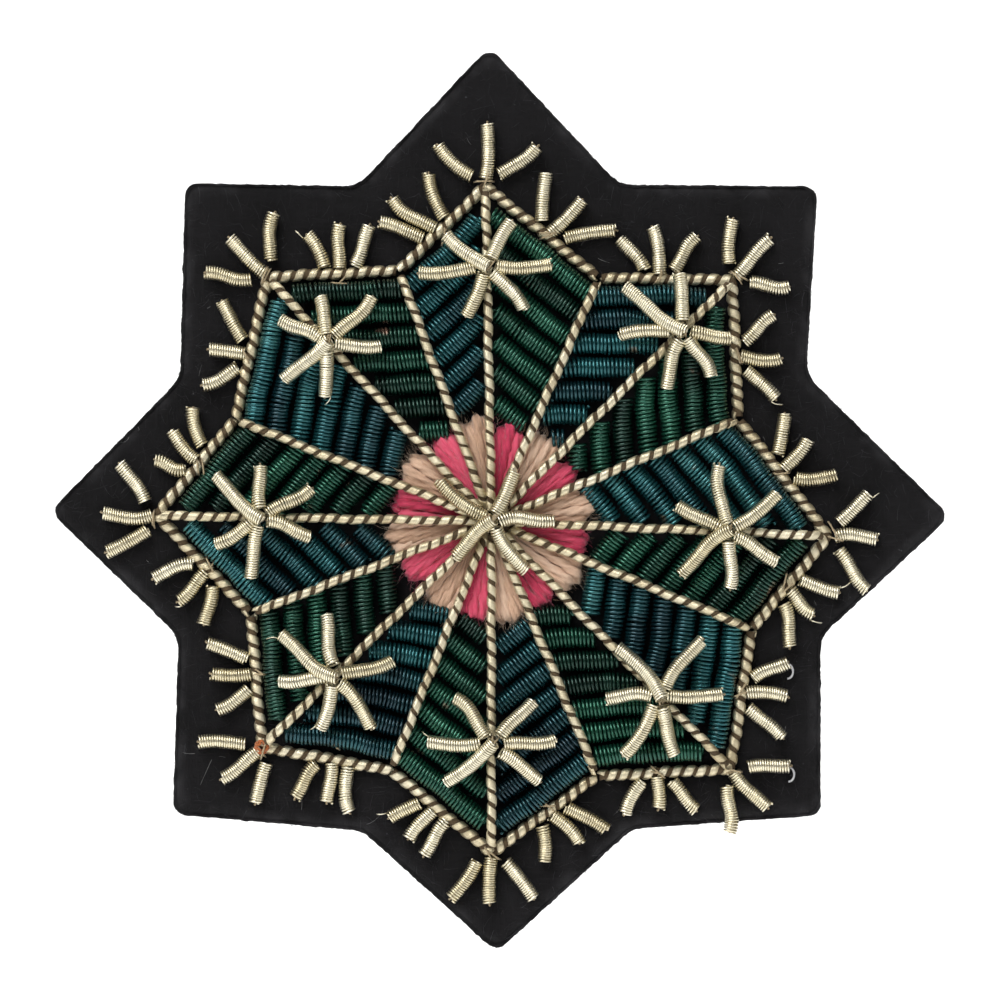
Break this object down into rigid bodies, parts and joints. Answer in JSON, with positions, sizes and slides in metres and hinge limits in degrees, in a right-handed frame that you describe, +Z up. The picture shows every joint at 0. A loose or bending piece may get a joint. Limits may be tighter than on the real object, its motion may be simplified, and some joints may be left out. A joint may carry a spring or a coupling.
{
  "type": "embroidered cap badge",
  "caption": "Felt star badge for a cap, hand-embroidered with metal purl petals, cord outlines, gold snowflakes and a satin rosette, held by clutches on posts",
  "frame": {"origin": "centre of the felt star on the flat back face of the backing felt", "axes": "+Z up the badge as it is worn, +Y out of the back into the cap, -Y out of the embroidered face, +X to the wearer's left"},
  "size_m": [0.0747, 0.0155, 0.0752],
  "materials": {
    "black_felt": "black wool felt, slightly worn",
    "card": "dark buckram card, hidden between the felts",
    "backing_felt": "black backing felt",
    "gold_cord": "two-ply cord of gilt passing thread, dulled",
    "teal_wire": "teal lacquered purl wire",
    "green_wire": "green lacquered purl wire",
    "gold_wire": "pale gilt purl wire, bright",
    "pink_silk": "pink-red satin stitch",
    "beige_silk": "beige-pink satin stitch",
    "plated_steel": "nickel-plated spring steel"
  },
  "bodies": {
    "badge": {"face_felt": "black_felt", "stiffener": "card", "back_felt": "backing_felt", "outline_cord_1": "gold_cord", "outline_cord_2": "gold_cord", "outline_cord_3": "gold_cord", "outline_cord_4": "gold_cord", "outline_cord_5": "gold_cord", "outline_cord_6": "gold_cord", "outline_cord_7": "gold_cord", "outline_cord_8": "gold_cord", "vein_cords": "gold_cord", "divider_cords": "gold_cord", "teal_purl_1": "teal_wire", "teal_purl_2": "teal_wire", "teal_purl_3": "teal_wire", "teal_purl_4": "teal_wire", "teal_purl_5": "teal_wire", "teal_purl_6": "teal_wire", "teal_purl_7": "teal_wire", "teal_purl_8": "teal_wire", "green_purl_1": "green_wire", "green_purl_2": "green_wire", "green_purl_3": "green_wire", "green_purl_4": "green_wire", "green_purl_5": "green_wire", "green_purl_6": "green_wire", "green_purl_7": "green_wire", "green_purl_8": "green_wire", "snowflake_1": "gold_wire", "snowflake_2": "gold_wire", "snowflake_3": "gold_wire", "snowflake_4": "gold_wire", "snowflake_5": "gold_wire", "snowflake_6": "gold_wire", "snowflake_7": "gold_wire", "snowflake_8": "gold_wire", "fan_chips_1": "gold_wire", "fan_chips_2": "gold_wire", "fan_chips_3": "gold_wire", "fan_chips_4": "gold_wire", "fan_chips_5": "gold_wire", "fan_chips_6": "gold_wire", "fan_chips_7": "gold_wire", "fan_chips_8": "gold_wire", "rosette_pink": "pink_silk", "rosette_beige": "beige_silk", "centre_star": "gold_wire", "left_tack_pin": "plated_steel", "right_tack_pin": "plated_steel"},
    "left_clutch": {"left_clutch_cup": "plated_steel"},
    "left_inner_wing": {"left_clutch_inner_wing": "plated_steel"},
    "left_outer_wing": {"left_clutch_outer_wing": "plated_steel"},
    "right_clutch": {"right_clutch_cup": "plated_steel"},
    "right_inner_wing": {"right_clutch_inner_wing": "plated_steel"},
    "right_outer_wing": {"right_clutch_outer_wing": "plated_steel"}
  },
  "joints": [
    {"name": "left_clutch_slide", "type": "slide", "parent": "badge", "child": "left_clutch", "axis": [0, 1, 0], "range_m": [0, 0.006]},
    {"name": "right_clutch_slide", "type": "slide", "parent": "badge", "child": "right_clutch", "axis": [0, 1, 0], "range_m": [0, 0.006]},
    {"name": "left_inner_wing_hinge", "type": "hinge", "parent": "left_clutch", "child": "left_inner_wing", "pos_m": [-0.0105, 0.0038, 0], "axis": [0, 0, 1], "range_deg": [0, 12], "stiffness_Nm_per_rad": 0.002},
    {"name": "left_outer_wing_hinge", "type": "hinge", "parent": "left_clutch", "child": "left_outer_wing", "pos_m": [-0.0155, 0.0038, 0], "axis": [0, 0, -1], "range_deg": [0, 12], "stiffness_Nm_per_rad": 0.002},
    {"name": "right_inner_wing_hinge", "type": "hinge", "parent": "right_clutch", "child": "right_inner_wing", "pos_m": [0.0105, 0.0038, 0], "axis": [0, 0, -1], "range_deg": [0, 12], "stiffness_Nm_per_rad": 0.002},
    {"name": "right_outer_wing_hinge", "type": "hinge", "parent": "right_clutch", "child": "right_outer_wing", "pos_m": [0.0155, 0.0038, 0], "axis": [0, 0, 1], "range_deg": [0, 12], "stiffness_Nm_per_rad": 0.002}
  ],
  "couplings": [
    {"joint": "left_outer_wing_hinge", "follows": "left_inner_wing_hinge", "ratio": 1},
    {"joint": "right_outer_wing_hinge", "follows": "right_inner_wing_hinge", "ratio": 1}
  ]
}
